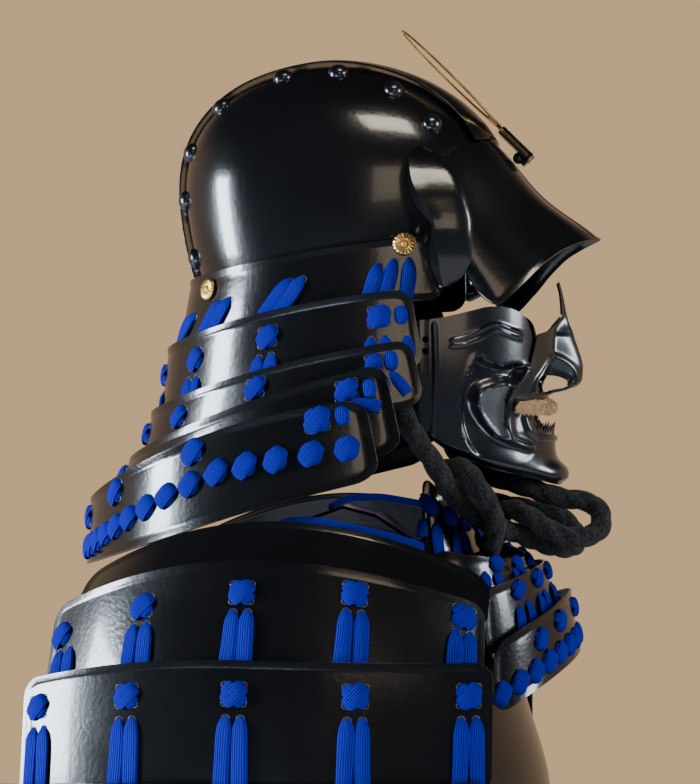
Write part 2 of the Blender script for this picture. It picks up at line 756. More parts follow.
RIVET_PLACES = [0.05, 0.17, 0.27, 0.385, 0.54, 0.68, 0.825, 0.945]
RIVET = {"radius": 9, "height": 7, "foot": 1.2, "off_middle": 40, "more_at_brow": 35}
RIVET_BAND = 10    # width of the strip that the rivets stand on


def rivet_band(u, v):
    off_middle = -(RIVET["off_middle"] + RIVET["more_at_brow"] * u * u)
    return bowl_along(bowl_off_middle(off_middle - RIVET_BAND * (v - 0.5), seam_angle(u)))


def standing(points, place, direction):
    """Turns points built along +Z to stand on a place along a direction."""
    turn = np.array(Vector((0, 0, 1)).rotation_difference(Vector(direction)).to_matrix())
    return points @ turn.T + place


def lathe(profile, sides):
    angles = around(sides)
    profile = np.array(profile, float)
    return vec(profile[:, :1] * np.cos(angles), profile[:, :1] * np.sin(angles), profile[:, 1:] + 0 * angles)


def build_bowl():
    sheet("helmet_side_plate_right", side_plate_surface, steps(112), steps(48), LACQUER, mirror=True)

    def edge_band(u, v, points):
        return 0.35 * bell(np.minimum(u, 1 - u) * 2 * seam_half_width(v), 2.2)

    sheet("helmet_centre_plate", centre_plate_surface, steps(40), steps(112), LACQUER, relief=edge_band)
    dome = [(RIVET["radius"], -RIVET["foot"])]
    for angle in np.linspace(0, math.pi / 2, 9):
        dome.append((max(RIVET["radius"] * math.cos(angle), 0.05), RIVET["height"] * math.sin(angle)))
    pile = Pile()
    for place in RIVET_PLACES:
        spot = np.array([place, 0.5])
        pile.tube(standing(lathe(dome, 24), rivet_band(*spot), normal_at(rivet_band, *spot)))
    pile_object("helmet_rivets", pile.both(), GLOSS)


# ---------------- brow peak
PEAK = [
    # place, borderY, borderZ, edgeX, edgeY, edgeZ
    (0.00, -150, 326, 0, -240.5, 242),
    (0.20, -143, 324, -27, -228, 238.5),
    (0.29, -137.6, 321.4, -37, -220.6, 235.4),
    (0.38, -131, 318, -46, -212, 231),
    (0.54, -117, 309, -65, -196, 218),
    (0.68, -107, 295, -80, -178, 198.5),
    (0.80, -102, 276, -87, -158, 182.5),
    (0.90, -101, 258, -85, -141, 195),
    (1.00, -103, 243, -78, -126, 221),
]
PEAK_SWEEP = 6    # depth of the hollow between the peak's border and its edge


def peak_surface(u, v):
    side = np.where(u < 0.5, 1, -1)
    border_y, border_z, edge_x, edge_y, edge_z = look_up_smooth(PEAK, np.abs(2 * u - 1))
    border = bowl_along(bowl_from_side(border_y, border_z), BROW_LIFT)
    point = mix(border, vec(edge_x, edge_y, edge_z), v[..., None])
    hollow = PEAK_SWEEP * np.sin(math.pi * v) ** 2 * (1 - (2 * u - 1) ** 2)
    return vec(side * point[..., 0], point[..., 1] + 0.7 * hollow, point[..., 2] - 0.7 * hollow)


def build_peak():
    rows = 1 - np.linspace(1, 0, 46) ** 1.2
    sheet("brow_peak", peak_surface, steps(107), rows, LACQUER,
          relief=lambda u, v, points: rolled(1.2, (1 - v) * 110, 5, 1.4))


# ---------------- crest and its holder
CREST = {"y": -179.5, "z": 315, "thick": 1.4, "half_width": 49, "from": 35, "to": 160, "tip": 7, "tongue": 7}
RISE = np.array([0, math.sqrt(0.5), math.sqrt(0.5)])
FACE = np.array([0, -math.sqrt(0.5), math.sqrt(0.5)])
SOCKET = {"half": 11, "wall": 2.6, "gap": 1.2, "floor": 1.2, "depth": 36, "knob": 5.2}


def on_crest(x, rise, face):
    place = np.array([0, CREST["y"], CREST["z"]])
    return vec(x, 0, 0) + place + np.multiply.outer(rise, RISE) + np.multiply.outer(face, FACE)


def crest_block(x0, x1, rise, height, face, thick):
    """A box that stands along the crest: its corners go round the back face and then the front face."""
    rim = ((x0, rise), (x1, rise), (x1, rise + height), (x0, rise + height))
    corners = [on_crest(np.array(x), np.array(r), np.array(f)) for f in (face, face + thick) for x, r in rim]
    faces = [(3, 2, 1, 0), (4, 5, 6, 7), (0, 1, 5, 4), (1, 2, 6, 5), (2, 3, 7, 6), (3, 0, 4, 7)]
    return Pile().add(corners, faces)


def build_crest():
    middle = (CREST["from"] + CREST["to"]) / 2
    tall = (CREST["to"] - CREST["from"]) / 2
    thick, tongue = CREST["thick"], CREST["tongue"]

    def surface(u, v):
        angle = mix(360 - CREST["tip"], CREST["tip"], u) * DEGREE
        x = mix(CREST["half_width"], CREST["half_width"] - 7, v) * np.sin(angle)
        rise = middle + 7 * v + mix(tall, tall - 8, v) * np.cos(angle)
        return on_crest(x, rise, np.full(np.shape(x), thick / 2))

    def fillet(u, v, points):
        return -0.35 * bell(v - 0.22, 0.07) - 0.35 * bell(v - 0.78, 0.07)

    sheet("crest", surface, steps(130), steps(13), GILT, relief=fillet, thickness=thick, edge=0.35)
    block = crest_block(-tongue, tongue, 2, CREST["from"] + 3, -thick / 2, thick)
    bevelled(pile_object("crest_tongue", block, GILT, smooth=False), 0.3)


def build_crest_holder():
    half, wall, gap, knob = SOCKET["half"], SOCKET["wall"], SOCKET["gap"], SOCKET["knob"]
    start, depth = SOCKET["floor"] - 3, SOCKET["depth"]
    blocks = [
        # name, material: left, right, rise, height, face, thickness
        ("front", GLOSS, -half, half, start, depth, gap, wall),
        ("back", GLOSS, -half, half, start, depth, -gap - wall, wall),
        ("floor", GLOSS, -half, half, start, 3, -gap - wall, 2 * (gap + wall)),
        ("link", GLOSS, -4, 4, -2, 7, -9, 6.5),
        ("band", GILT, -half - 0.5, half + 0.5, start + depth - 7, 4, gap + wall - 0.4, 0.9),
    ]
    for name, material, *sizes in blocks:
        nodes = ["crest_holder"] if name == "front" else []
        bevelled(pile_object(f"crest_holder_{name}", crest_block(*sizes), material, nodes, smooth=False), 0.6)
    arc = np.linspace(-math.pi / 2, math.pi / 2, 15)
    ball = lathe([(max(knob * math.cos(a), 0.02), knob * math.sin(a)) for a in arc], 24)
    pile_object("crest_holder_knob", Pile().tube(ball + [0, CREST["y"] + 9.4, CREST["z"] - 0.1]), GLOSS)


# ---------------- neck guard
NECK_RINGS = [
    # side, rear, fore, middleY, rearZ, sideZ, foreZ : top ring, then bottom ring, then reach, slant
    ((106, 134, 175, -11, 208, 227.5, 253), (110, 146, 178, -10, 137, 178.6, 184), 126, 0),
    ((119, 166, 165, -22, 147, 185.7, 200), (122, 173, 170, -22, 80, 118.4, 133), 114, 3.5),
    ((129, 181, 177, -22, 90, 140.6, 163), (134, 194, 184, -22, 28, 83.4, 111), 113, 3),
    ((143, 198, 188, -20, 48, 119.6, 155), (152, 221, 205, -20, 0, 50, 80), 106, 3.5),
    ((161, 193, 230, 20, 10, 91, 110), (168, 196, 236, 20, -45, 19, 77), 110, 3),
]


def ring_point(ring, angle):
    side, rear, fore, middle_y, rear_z, side_z, fore_z = ring
    c = np.cos(angle)
    rise = (rear_z - fore_z) / 2
    curl = (rear_z + fore_z) / 2 - side_z
    y = middle_y + np.where(c > 0, rear, fore) * c
    return vec(-side * np.sin(angle), y, side_z + rise * c + curl * c * c)


class Lame:
    """A plate from one ring to the next, between two angles counted from the back to the right.
    Its ends run out by the slant from the top edge to the bottom edge."""

    def __init__(self, top, bottom, start, end, slant=0):
        self.top, self.bottom, self.start, self.end, self.slant = top, bottom, start, end, slant

    def surface(self, u, v):
        angle = (mix(self.start, self.end, u) + self.slant * v * (2 * u - 1) ** 15) * DEGREE
        return mix(ring_point(self.top, angle), ring_point(self.bottom, angle), v[..., None])

    def spot(self, angle, v):
        return (angle - self.start) / (self.end - self.start), v


NECK = [Lame(top, bottom, -reach, reach, slant) for top, bottom, reach, slant in NECK_RINGS]

# Braids that run down from the top of a lame to the next one: where they start and end.
NECK_BRAIDS = [
    # lame, start angle, start v, end angle, end v, braids side by side
    (0, 107.1, 0.36, 104.3, 0.95, 1), (0, 111.4, 0.32, 108.6, 0.95, 1), (0, 115.6, 0.33, 114.6, 0.95, 1),
    (0, 83.1, 0.41, 74.8, 0.94, 2), (0, 53.8, 0.46, 44.8, 0.94, 2), (0, 31.9, 0.51, 13.0, 0.94, 2),
    (1, 104.0, 0.54, 103.6, 0.95, 2), (1, 111.3, 0.57, 110.4, 0.95, 1),
    (1, 71.9, 0.52, 71.4, 0.93, 2), (1, 43.4, 0.55, 42.6, 0.93, 2), (1, 9, 0.56, 9, 0.93, 2),
    (2, 103.4, 0.50, 101.5, 0.93, 2), (2, 71.2, 0.50, 71.0, 0.90, 2), (2, 43.7, 0.52, 43.2, 0.90, 2),
    (2, 14, 0.52, 14, 0.90, 2),
    (3, 97.6, 0.44, 97.0, 0.90, 2), (3, 71.2, 0.50, 70.8, 0.90, 2), (3, 43.4, 0.52, 43.0, 0.90, 2),
    (3, 15, 0.52, 15, 0.90, 2),
]
# Cross knots and, at the front end of a lame, narrow half knots.
NECK_KNOTS = [
    # lame, angle, v, width, height
    (1, 104.5, 0.30, 19, 18), (1, 110.4, 0.31, 10, 16), (1, 72.3, 0.31, 18, 18),
    (1, 44.1, 0.34, 18, 18), (1, 9, 0.34, 18, 18),
    (2, 102.7, 0.26, 14, 14), (2, 107.0, 0.27, 11, 17), (2, 71.2, 0.24, 18, 17),
    (2, 43.7, 0.30, 18, 17), (2, 14, 0.32, 18, 17),
    (3, 96.6, 0.20, 19, 17), (3, 101.8, 0.24, 10, 16), (3, 15, 0.32, 18, 17),
    (4, 100.3, 0.16, 21, 20), (4, 105.1, 0.16, 11, 16), (4, 71.2, 0.14, 19, 19),
    (4, 43.4, 0.20, 19, 19), (4, 16.3, 0.28, 19, 19),
]
HALF_KNOT = 12    # a knot narrower than this is a half knot
# Loose turns of braid by the front knots.
NECK_TURNS = [
    # lame, start angle, start v, end angle, end v
    (2, 106.6, 0.42, 110.0, 0.78),
    (3, 97.5, 0.34, 103.6, 0.47),
]
# Round knots along the hem: their angles, and the height of the row as (angle, v).
HEM_ROW = [105.4, 98.9, 92.1, 85.2, 78, 70.8, 63.8, 57.1, 50.6, 44.6, 38.8, 33.2, 27.6, 22, 15.6, 9.3, 3.1]
HEM_HEIGHT = [(0, 0.76), (30, 0.74), (50, 0.62), (63, 0.53), (78, 0.46), (92, 0.51), (106, 0.56)]


def build_neck_guard():
    for k, lame in enumerate(NECK):
        lame_sheet(f"neck_guard_lame_{k + 1}", lame.surface, 144, 20)
    lips = Pile()
    for k in range(4):
        right = Pile()
        upper, lower = NECK[k], NECK[k + 1]
        for row, angle, v, end_angle, end_v, count in NECK_BRAIDS:
            if row == k:
                pair(right, upper.surface, upper.spot(angle, v), upper.spot(end_angle, end_v), count)
                pair_lips(lips, upper.surface, *upper.spot(angle, v), count)
        for row, angle, v, width, height in NECK_KNOTS:
            if row != k + 1:
                continue
            place = (lower.surface, *lower.spot(angle, v))
            if width < HALF_KNOT:
                upright(right, *place, width + 1, height)
                continue
            knot(right, *place, (width, height))
            knot_lips(lips, *place, (width, height))
        for row, angle, v, end_angle, end_v in NECK_TURNS:
            if row == k + 1:
                start, end = lower.spot(angle, v), lower.spot(end_angle, end_v)
                strand(right, lower.surface, start, end, width=10, thick=4)
        for angle in HEM_ROW if lower is NECK[-1] else []:
            v = float(np.interp(angle, *np.array(HEM_HEIGHT).T))
            size = (18.6 * rng.uniform(0.95, 1.05), 18)
            knot(right, lower.surface, *lower.spot(angle, v), size, full=0.74, high=5.4)
        silk(f"neck_lacing_{k + 1}", right.both())
    pile_object("neck_guard_hole_lips", lips.both(), LIP)


ROSETTES = [(42.7, 0.24), (114.1, 0.10)]    # (angle, v) on the top lame
ROSETTE_RADIUS = 9.6


def rosette_points():
    """A sixteen-petalled rosette built along +Z."""
    r = np.linspace(0.001, 1, 22)[:, None]
    a = around(96)[None]
    petal = np.abs(np.cos(8 * a)) ** 0.6
    rim = 1 - 0.05 * (1 - petal) * smooth_step(0.7, 1, r)
    outer = smooth_step(0.34, 0.42, r) * (0.35 + 0.65 * petal) * (1 - smooth_step(0.86, 1.0, r)) * 1.3
    inner = (1 - smooth_step(0.24, 0.34, r)) * (1.7 + 0.8 * np.sqrt(np.maximum(1 - (r / 0.34) ** 2, 0)))
    height = 1.1 + 0.9 * (1 - r ** 2) + outer + inner * 0.6
    radius = r * ROSETTE_RADIUS * rim
    top = vec(radius * np.cos(a), radius * np.sin(a), height)
    skirt = top[-1:] * [1, 1, 0]
    return np.concatenate([top, skirt])


def build_rosettes():
    surface = NECK[0].surface
    for k, (angle, v) in enumerate(ROSETTES):
        u, v = np.array(NECK[0].spot(angle, v))
        out = normal_at(surface, u, v)
        points = standing(rosette_points(), surface(u, v) + out * 2 * SEAM, out)
        for side, place in (("right", points), ("left", flipped(points[:, ::-1]))):
            node = f"rosette_{side}_{k + 1}"
            pile_object(f"{node}_petals", Pile().tube(place[::-1]), GILT, [node])


# ---------------- turn-backs
LEAF = [
    # z, rootX, rootY, foldY, freeX, freeY
    (196, -98, -113, -119, -108, -116),
    (203, -97, -110, -131, -113, -115),
    (221, -98, -104, -140, -122, -113.5),
    (245, -99, -106, -140.5, -127, -111),
    (266, -99, -92, -135.5, -127, -99),
    (286, -98, -86, -127, -122, -91),
    (303, -96, -88, -113, -112, -89),
    (312, -95, -92, -99, -100, -94),
]


def leaf_surface(u, v):
    z = mix(LEAF[-1][0], LEAF[0][0], v)
    root_x, root_y, fold_y, free_x, free_y = look_up_smooth(LEAF, z)
    root = vec(root_x, root_y, z)
    turn = vec(mix(root_x, free_x, 0.55), 2 * fold_y - (root_y + free_y) / 2, z)
    free = vec(free_x, free_y, z)
    t = (1 - u)[..., None]
    return mix(mix(root, turn, t), mix(turn, free, t), t)


def build_turn_backs():
    rows = (1 - np.cos(np.linspace(0, math.pi, 48))) / 2
    sheet("turn_back_right", leaf_surface, steps(44), rows, LACQUER, mirror=True, edge=0.4,
          relief=lambda u, v, points: rolled(0.8, u * 70, 5, 1.4))


# ---------------- face mask
MASK = [
    # z, half width, rear y, front y, how pointed the section is
    (30, 58, -112, -211, 1.45),
    (40, 66, -108, -210, 1.4),
    (55, 73, -104, -203, 1.3),
    (75, 77, -92, -201, 1.15),
    (90, 78, -90, -196, 1.1),
    (105, 79, -94, -196, 1.1),
    (130, 80, -92, -200, 1.1),
    (185, 79, -92, -200, 1.1),
]
MASK_TOP = [
    (0, 110), (0.3, 110), (0.4, 118), (0.45, 140), (0.52, 163), (0.56, 171.6), (0.65, 178.6),
    (0.76, 181.8), (0.82, 181.6), (0.9, 178), (0.97, 173), (1, 170),
]
MASK_BOTTOM = [(0, 30), (0.2, 30), (0.5, 33), (0.8, 42), (0.93, 52), (0.98, 61), (1, 74)]
MOUTH = (0.5, 0.338, 0.15, 0.135, 2.3)    # a hole of the sheet, as in sheet()
EAR_HOLE_U = 4.1 / 180    # 4.1 degrees in from either edge
MOUSTACHE = {"reach": 40, "top": 104, "bottom": 91}
# Lines of the mask in the side view, as (y, z).
EAR_RIDGE = [(-105, 172), (-106, 141), (-106, 118), (-104, 84), (-102, 66)]
CHEEK_LINES = [
    [(-117, 153), (-129, 155), (-141, 161), (-156, 167), (-167, 163), (-178, 159)],
    [(-117, 148.5), (-129, 150), (-143, 155), (-156, 162), (-167, 158), (-177, 154)],
]
# The hollow of the cheek, with a raised dull panel in it.
HOLLOW = [
    (-182, 133), (-171, 135), (-161, 133), (-149, 136), (-140, 141), (-133, 126), (-128, 111), (-126, 96),
    (-127, 79), (-132, 65), (-140, 54), (-150, 48), (-165, 45), (-180, 51), (-188, 60), (-177, 65),
    (-168, 69), (-164, 78), (-161, 88), (-162, 98), (-168, 110), (-176, 123),
]
HOLLOW_EDGE = HOLLOW[3:11]
PANEL = [(-144, 110), (-149, 113), (-166, 115), (-162, 102), (-161, 90), (-162, 80), (-167, 70), (-158, 75),
         (-149, 87), (-143, 97), (-142, 104)]
PANEL_EDGE = [(-144, 110), (-141, 102), (-142, 96), (-148, 85), (-158, 73), (-169, 67)]
CHEEK_RIDGE = [
    (-184, 135), (-177, 124), (-170, 114), (-165, 101), (-164, 89), (-165, 78), (-169, 69), (-177, 65),
    (-188, 60),
]
LOW_LIP = [(-178, 92), (-179, 86), (-182, 78), (-188, 72), (-196, 70), (-215, 70)]
TOP_LIP = [(-178, 97), (-188, 101), (-200, 103), (-215, 104)]


def mask_point(turn, z):
    half, rear, front, pointed = look_up_smooth(MASK, z)
    c = np.maximum(np.cos(turn * DEGREE), 0)
    return vec(half * np.sin(turn * DEGREE), rear - (rear - front) * c ** pointed, z)


def mask_surface(u, v):
    turn = mix(-90, 90, u)
    share = np.abs(np.sin(turn * DEGREE))
    top, = look_up_smooth(MASK_TOP, share)
    bottom, = look_up_smooth(MASK_BOTTOM, share)
    return mask_point(turn, mix(top, bottom, v))


def mask_front_at(x, z):
    half, = look_up_smooth([row[:2] for row in MASK], z)
    return mask_point(np.arcsin(np.minimum(np.abs(x) / half, 1)) / DEGREE, z)[..., 1]


def within(y, z, outline):
    """Whether points of a plane lie inside a closed outline."""
    inside = np.zeros(np.shape(y), bool)
    for (ay, az), (by, bz) in zip(outline, outline[1:] + outline[:1]):
        level = np.where(bz == az, 1, bz - az)
        inside ^= ((az > z) != (bz > z)) & (y < ay + (z - az) * (by - ay) / level)
    return inside


def curved(line):
    """A rounded line through points of the side view."""
    path, _ = smooth_path([(0, y, z) for y, z in line], 2.5)
    return path[:, 1:].tolist()


def mask_relief(u, v, points):
    """The beaten relief of the mask, drawn in the side view."""
    y, z = points[..., 1], points[..., 2]

    def ridge(line, width, height):
        gap, along = distance_to_line(y, z, curved(line))
        fade = smooth_step(0, 0.08, along) * smooth_step(1, 0.92, along)
        return height * fade * bell(gap, width)

    lift = ridge(EAR_RIDGE, 1.7, 1.4) + 3.0 * smooth_step(-106, -92, y)
    for line in CHEEK_LINES:
        lift += ridge(line, 1.5, 1.3)
    gap, _ = distance_to_line(y, z, curved(HOLLOW + HOLLOW[:1]))
    depth = 8.0 * smooth_step(46, 84, z)
    hollow = np.where(within(y, z, HOLLOW), smooth_step(0, 4.5, gap), 0)
    outside, _ = distance_to_line(y, z, curved(PANEL + PANEL[:1]))
    outside = np.where(within(y, z, PANEL), 0, outside)
    lift -= hollow * depth * (1 - 0.72 * (1 - smooth_step(0, 9, outside)))
    lift += ridge(HOLLOW_EDGE, 1.8, 0.6) * smooth_step(50, 80, z) + ridge(PANEL_EDGE, 1.7, 1.6)
    lift += ridge(CHEEK_RIDGE, 3.4, 4.2) + ridge(LOW_LIP, 2.6, 2.6) + ridge(TOP_LIP, 2.6, 1.4)
    lift += 3.6 * bell(z - 40, 9) * smooth_step(-188, -206, y)
    return lift - 5.0 * smooth_step(0.92, 1, v) ** 1.5


def on_panel(points):
    return within(points[..., 1], points[..., 2], PANEL)


NOSE = [
    # place, half width, ridge y, ridge z, border y, border z
    (0.0, 3, -205.6, 206, -204.6, 204),
    (0.1, 5, -208.6, 194.6, -207, 194),
    (0.2, 8, -211.8, 178, -208.3, 178),
    (0.3, 14, -214, 170, -204, 170),
    (0.4, 25, -217.2, 162.4, -197, 163),
    (0.5, 39, -219, 156, -188.5, 158),
    (0.6, 42, -222, 147.4, -185.5, 148),
    (0.7, 46, -225.9, 132.2, -181, 132),
    (0.8, 52, -225.4, 122, -172, 119),
    (0.9, 55, -221, 115.5, -168.5, 106),
    (1.0, 50, -206, 111, -168.5, 103.5),
]
NOSE_RIDGE = 0.42


def nose_surface(u, v):
    half, ridge_y, ridge_z, border_y, border_z = look_up_smooth(NOSE, v)
    side = 2 * u - 1
    fall = (1 - bell(side, NOSE_RIDGE)) / (1 - bell(1, NOSE_RIDGE))
    z = mix(ridge_z, border_z, np.abs(side))
    y = np.minimum(mix(ridge_y, border_y, fall), mask_front_at(half * side, z) - SEAM - 2 * PLATE)
    return vec(half * side, y, z)


def nose_relief(u, v, points):
    """The nostrils lie in deep dishes with rolled rims."""
    out = np.hypot((np.abs(2 * u - 1) - 0.44) / 0.28, (v - 0.81) / 0.15)
    return -4.2 * crown(out, 2, 0.8) + 2.0 * bell(out - 1.08, 0.15)


def build_mask():
    ear_holes = [(side, v, 0.0095, 0.028, 2) for side in (EAR_HOLE_U, 1 - EAR_HOLE_U) for v in (0.168, 0.27)]
    sheet("mask_shell", mask_surface, steps(211), steps(115), GLOSS, name="mask_face", relief=mask_relief,
          holes=[MOUTH, *ear_holes], edge=0.4, patch=(MATTE, on_panel))
    nostrils = [(0.5 + side * 0.215, 0.85, 0.115, 0.088, 2.2) for side in (-1, 1)]
    sheet("mask_nose", nose_surface, steps(95), steps(111), GLOSS,
          relief=nose_relief, holes=nostrils, edge=0.4)


TEETH = [
    # z of the lip, the way they point, length
    (93.5, -1, 5),
    (73, 1, 12),
]
TEETH_TURNS = np.linspace(-25, 25, 17)
TOOTH_RADIUS = 2.2


def build_teeth():
    """Short points along both lips."""
    pile = Pile()
    bend = steps(7)[:, None]
    ring = around(8)[None]
    radius = TOOTH_RADIUS * (1 - bend) ** 0.7 + 0.05
    for lip_z, up, height in TEETH:
        for turn in TEETH_TURNS:
            foot = mask_point(np.array(turn), np.array(lip_z - up * 1.0)) + [0, 2.0, 0]
            tall = height * rng.uniform(0.8, 1.1)
            y = radius * np.sin(ring) * 0.8 - 3.0 * bend ** 2
            points = foot + vec(radius * np.cos(ring), y, up * tall * bend + 0 * ring)
            pile.tube(points if up > 0 else points[:, ::-1])
    pile_object("mask_teeth", pile, GLOSS)


def moustache_lip(u, v):
    turn = mix(-MOUSTACHE["reach"], MOUSTACHE["reach"], u)
    return mask_point(turn, mix(MOUSTACHE["top"], MOUSTACHE["bottom"], v))


def build_moustache():
    lip = moustache_lip
    each = (HAIRS, 1)
    u = rng.uniform(0.01, 0.99, HAIRS)
    v = 0.5 + (rng.beta(1.7, 1.7, HAIRS) - 0.5) * np.sqrt(1 - np.abs(2 * u - 1) ** 6)
    foot = lifted(lip, 2 * SEAM)(u, v)
    out = normal_at(lip, u, v)
    sideways = unit(lip(np.minimum(u + 0.01, 1), v) - lip(np.maximum(u - 0.01, 0), v))
    sideways = sideways * np.sign(u - 0.5)[:, None]
    reach = rng.uniform(3, FUR + 1.2, each) * np.sqrt(np.sin(math.pi * v))[:, None]
    droop = np.array([0, 0, -1.0]) * rng.uniform(0.5, 3.5, each)
    middle = foot + out * reach * 0.7 + sideways * rng.uniform(0.5, 2, each)
    tip = foot + out * reach + sideways * rng.uniform(1, 6, each) + droop + rng.normal(0, 1.0, (HAIRS, 3))
    wide = unit(np.cross(tip - foot, out + rng.normal(0, 0.3, (HAIRS, 3)))) * 0.16
    points = np.stack([foot - wide, foot + wide, middle + wide, middle - wide, tip], axis=1)
    faces = [[5 * k + a for a in face] for k in range(HAIRS) for face in ((0, 1, 2, 3), (3, 2, 4))]
    pile_object("moustache_hair", Pile().add(points, faces), HAIR, ["moustache"], smooth=False)
    body = lifted(lip, SEAM + 2.6)
    sheet("", rounded(body, 5), np.linspace(0.03, 0.97, 60), np.linspace(0.15, 0.85, 8), HAIR,
          name="moustache_skin", thickness=2.0, edge=0)


# ---------------- throat guard
THROAT_RINGS = [
    # side, middleY, fore, sideZ, foreZ : top ring, then bottom ring, then reach from the front
    ((62, -98, 30, 36, 6), (76, -102, 36, -31, -28), 100),
    ((83, -110, 66, -21, -33), (89, -110, 74, -60, -48), 95),
    ((97, -110, 82, -66, -38), (105, -110, 93, -137, -76), 64),
    ((114, -110, 105, -125, -62.5), (124, -110, 113, -182, -114.5), 64),
]


def front_ring(row):
    side, middle_y, fore, side_z, fore_z = row
    return (side, fore, fore, middle_y, 2 * side_z - fore_z, side_z, fore_z)


THROAT = [Lame(front_ring(top), front_ring(bottom), 180 - reach, 180 + reach)
          for top, bottom, reach in THROAT_RINGS]
THROAT_BRAIDS = [
    # lame, angle, start v, end v
    (0, 90, 0.50, 0.93), (0, 132, 0.50, 0.93), (0, 180, 0.50, 0.93),
    (1, 126, 0.45, 0.93), (1, 152, 0.45, 0.93), (1, 180, 0.45, 0.93),
    (2, 141, 0.48, 0.93), (2, 159, 0.48, 0.93), (2, 180, 0.48, 0.93),
]
THROAT_KNOTS = [
    # lame, angle, v, size
    (0, 90, 0.32, 16), (0, 122, 0.32, 16), (0, 150, 0.30, 16), (0, 180, 0.3, 16),
    (1, 132, 0.22, 14), (1, 154, 0.27, 14), (1, 180, 0.27, 14),
    (2, 139, 0.22, 15), (2, 158, 0.20, 15), (2, 180, 0.20, 15),
    (3, 140.8, 0.33, 15.5), (3, 156, 0.28, 15.5), (3, 180, 0.28, 15.5),
]
THROAT_HEM = [119, 127.5, 136, 144.5, 153, 162, 171, 180]


def build_throat_guard():
    for k, lame in enumerate(THROAT):
        lame_sheet(f"throat_guard_lame_{k + 1}", lame.surface, 90, 16, lift=0.8)
    hem = [(3, angle, 0.73, 15.5) for angle in THROAT_HEM]
    for k in range(3):
        pile = Pile()
        upper = THROAT[k]
        for row, angle, v, end in THROAT_BRAIDS:
            for place in sorted({angle, 360 - angle}) if row == k else []:
                pair(pile, upper.surface, upper.spot(place, v), upper.spot(place, end), width=11)
        rows = (0, 1) if k == 0 else (k + 1,)
        knots = [(*knot_row, 0.66) for knot_row in THROAT_KNOTS if knot_row[0] in rows]
        knots += [(*knot_row, 0.78) for knot_row in hem if knot_row[0] in rows]
        for row, angle, v, size, full in knots:
            lame = THROAT[row]
            for place in sorted({angle, 360 - angle}):
                knot(pile, lame.surface, *lame.spot(place, v), (size, size), full=full, high=4.6)
        silk(f"throat_lacing_{k + 1}", pile)


# ---------------- cuirass and straps
CUIRASS = [
    # z, half width, front y, back y
    (-430, 158, -180, 75),
    (-330, 172, -198, 90),
    (-240, 175, -195, 98),
    (-160, 165, -174, 92),
    (-90, 150, -155, 80),
    (-40, 146, -145, 74),
]
CUIRASS_MIDDLE = -50
CUIRASS_HEM = -430
BACK_ROUND = 2.6
CHEST_LAP = 4
CHEST_TOP = [(0, -110), (20, -102), (28, -112), (46, -118), (52, -150), (65, -200), (94, -208)]
BACK_TOP = [(0, -60), (20, -52), (30, -50), (50, -56), (58, -110), (72, -200), (90, -208)]
CHEST_LIFT = PLATE + SEAM
STRAP = {"inner": 75, "outer": 115, "thick": 3, "lift": 4.5}
STRAP_PATH = [
    # place, y, z, how closely it follows the plate: 1 the back plate, -1 the chest plate
    (0.00, 0, -88, 1),
    (0.12, 0, -43, 1),
    (0.22, 52, -26, 0),
    (0.33, 34, -9, 0),
    (0.45, 0, 3, 0),
    (0.57, -32, -5, 0),
    (0.68, -66, -27, 0),
    (0.78, -96, -58, 0),
    (0.86, -122, -84, 0),
    (0.91, 0, -99, -1),
    (1.00, 0, -150, -1),
]


def trunk_point(table, angle, z, lift):
    half, front, back = look_up_smooth(table, z)
    c, s = np.cos(angle * DEGREE), np.sin(angle * DEGREE)
    power = np.where(c > 0, 2 / BACK_ROUND, 1)
    reach = np.where(c > 0, back - CUIRASS_MIDDLE, CUIRASS_MIDDLE - front)
    return vec(
        -(half + lift) * np.sign(s) * np.abs(s) ** power,
        CUIRASS_MIDDLE + (reach + lift) * np.sign(c) * np.abs(c) ** power,
        z,
    )


def cuirass_y(x, z, rear, lift):
    half, front, back = look_up_smooth(CUIRASS, z)
    power = BACK_ROUND if rear else 2
    share = (1 - np.minimum(np.abs(x) / (half + lift), 1) ** power) ** (1 / power)
    reach = back - CUIRASS_MIDDLE + lift if rear else front - CUIRASS_MIDDLE - lift
    return CUIRASS_MIDDLE + reach * share


def strap_surface(u, v):
    x = mix(-STRAP["outer"], -STRAP["inner"], u)
    stations = []
    for _, y, z, follows in STRAP_PATH:
        lift = STRAP["lift"] + (CHEST_LIFT if follows < 0 else 0)
        z = np.full(np.shape(x), float(z))
        stations.append(vec(x, cuirass_y(x, z, follows > 0, lift) if follows else y, z))
    stations = np.stack(stations)
    places = np.array([row[0] for row in STRAP_PATH])
    index = np.clip(np.searchsorted(places, v, side="right") - 1, 0, len(places) - 2)
    t = (v - places[index]) / np.diff(places)[index]
    low, high = (np.take_along_axis(stations, (index + k)[None, ..., None], 0)[0] for k in (0, 1))
    return mix(low, high, t[..., None])


def chest_surface(u, v):
    angle = mix(90 - CHEST_LAP, 270 + CHEST_LAP, u)
    top, = look_up_smooth(CHEST_TOP, np.abs(angle - 180))
    return trunk_point(CUIRASS, angle, mix(top, CUIRASS_HEM, v), CHEST_LIFT)


def back_surface(u, v):
    angle = mix(-90, 90, u)
    top, = look_up_smooth(BACK_TOP, np.abs(angle))
    return trunk_point(CUIRASS, angle, mix(top, CUIRASS_HEM, v), 0)


def build_cuirass():
    for node, surface in (("cuirass_front", chest_surface), ("cuirass_back", back_surface)):
        sheet(node, surface, steps(81), steps(48) ** 1.15, LACQUER,
              relief=lambda u, v, points: rolled(1.8, v * 280, 7, 1.5))
    rows = np.sort(np.concatenate([steps(45), [row[0] for row in STRAP_PATH[1:-1]]]))
    sheet("shoulder_strap_right", strap_surface, steps(9), rows, LACQUER,
          thickness=STRAP["thick"], mirror=True, edge=0.8)


